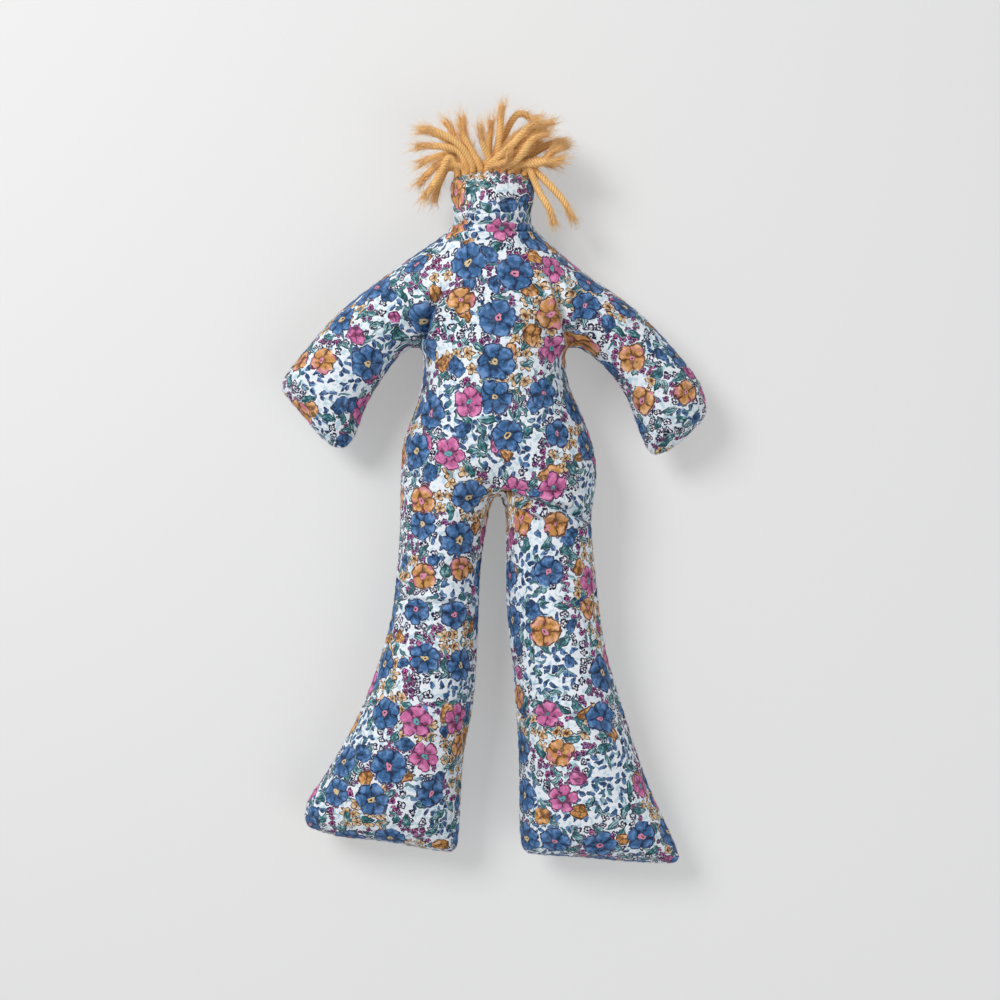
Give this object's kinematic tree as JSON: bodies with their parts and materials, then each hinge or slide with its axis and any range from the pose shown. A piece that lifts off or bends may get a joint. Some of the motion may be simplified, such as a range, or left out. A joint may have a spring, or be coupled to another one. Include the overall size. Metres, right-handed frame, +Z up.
{
  "type": "stuffed cloth doll",
  "caption": "Slim faceless stuffed cloth doll lying on its back, with flared hands and feet, floral cotton cloth and short loose yarn hair; neck, shoulders and hips bend softly.",
  "frame": {"origin": "centre of the flat on the torso's back, where the doll rests on a table", "axes": "+Z up out of the table and out of the doll's front, +Y towards the head, +X to the right in the picture"},
  "size_m": [0.1866, 0.3228, 0.0492],
  "materials": {
    "floral_cloth": "printed plain-weave cotton, small all-over flowers in blue, pink, ochre and green on white",
    "stuffing": "loose white polyester fibre, packed firmly",
    "thread": "white polyester sewing thread",
    "yarn": "matt plied worsted yarn, golden blond"
  },
  "bodies": {
    "torso": {"torso_front_cloth": "floral_cloth", "torso_back_cloth": "floral_cloth", "torso_stuffing": "stuffing", "head_fold": "floral_cloth", "left_arm_fold": "floral_cloth", "right_arm_fold": "floral_cloth", "left_leg_fold": "floral_cloth", "right_leg_fold": "floral_cloth", "left_side_seam_thread": "thread", "right_side_seam_thread": "thread"},
    "head": {"head_front_cloth": "floral_cloth", "head_back_cloth": "floral_cloth", "head_stuffing": "stuffing", "head_seam_thread": "thread", "hair_lock_01": "yarn", "hair_lock_02": "yarn", "hair_lock_03": "yarn", "hair_lock_04": "yarn", "hair_lock_05": "yarn", "hair_lock_06": "yarn", "hair_lock_07": "yarn", "hair_lock_08": "yarn", "hair_lock_09": "yarn", "hair_lock_10": "yarn", "hair_lock_11": "yarn", "hair_lock_12": "yarn", "hair_lock_13": "yarn", "hair_lock_14": "yarn", "hair_lock_15": "yarn", "hair_lock_16": "yarn", "hair_lock_17": "yarn", "hair_lock_18": "yarn", "hair_lock_19": "yarn", "hair_lock_20": "yarn", "hair_lock_21": "yarn", "hair_lock_22": "yarn", "hair_lock_23": "yarn", "hair_lock_24": "yarn", "hair_lock_25": "yarn"},
    "left_arm": {"left_arm_front_cloth": "floral_cloth", "left_arm_back_cloth": "floral_cloth", "left_arm_stuffing": "stuffing", "left_arm_seam_thread": "thread"},
    "right_arm": {"right_arm_front_cloth": "floral_cloth", "right_arm_back_cloth": "floral_cloth", "right_arm_stuffing": "stuffing", "right_arm_seam_thread": "thread"},
    "left_leg": {"left_leg_front_cloth": "floral_cloth", "left_leg_back_cloth": "floral_cloth", "left_leg_stuffing": "stuffing", "left_leg_seam_thread": "thread"},
    "right_leg": {"right_leg_front_cloth": "floral_cloth", "right_leg_back_cloth": "floral_cloth", "right_leg_stuffing": "stuffing", "right_leg_seam_thread": "thread"}
  },
  "joints": [
    {"name": "neck_bend", "type": "hinge", "parent": "torso", "child": "head", "pos_m": [0, 0.078, 0.023], "axis": [1, 0, 0], "range_deg": [-45, 45], "stiffness_Nm_per_rad": 0.1, "deforming": ["head_fold"]},
    {"name": "left_shoulder_bend", "type": "hinge", "parent": "torso", "child": "left_arm", "pos_m": [-0.0293, 0.029, 0.023], "axis": [-0.7771, 0.6293, 0], "range_deg": [-75, 75], "stiffness_Nm_per_rad": 0.1, "deforming": ["left_arm_fold"]},
    {"name": "right_shoulder_bend", "type": "hinge", "parent": "torso", "child": "right_arm", "pos_m": [0.0293, 0.029, 0.023], "axis": [-0.7997, -0.6004, 0], "range_deg": [-75, 75], "stiffness_Nm_per_rad": 0.1, "deforming": ["right_arm_fold"]},
    {"name": "left_hip_bend", "type": "hinge", "parent": "torso", "child": "left_leg", "pos_m": [0, -0.042, 0.023], "axis": [-1, 0, 0], "range_deg": [-60, 75], "stiffness_Nm_per_rad": 0.3, "deforming": ["left_leg_fold"]},
    {"name": "right_hip_bend", "type": "hinge", "parent": "torso", "child": "right_leg", "pos_m": [0, -0.042, 0.023], "axis": [-1, 0, 0], "range_deg": [-60, 75], "stiffness_Nm_per_rad": 0.3, "deforming": ["right_leg_fold"]}
  ]
}
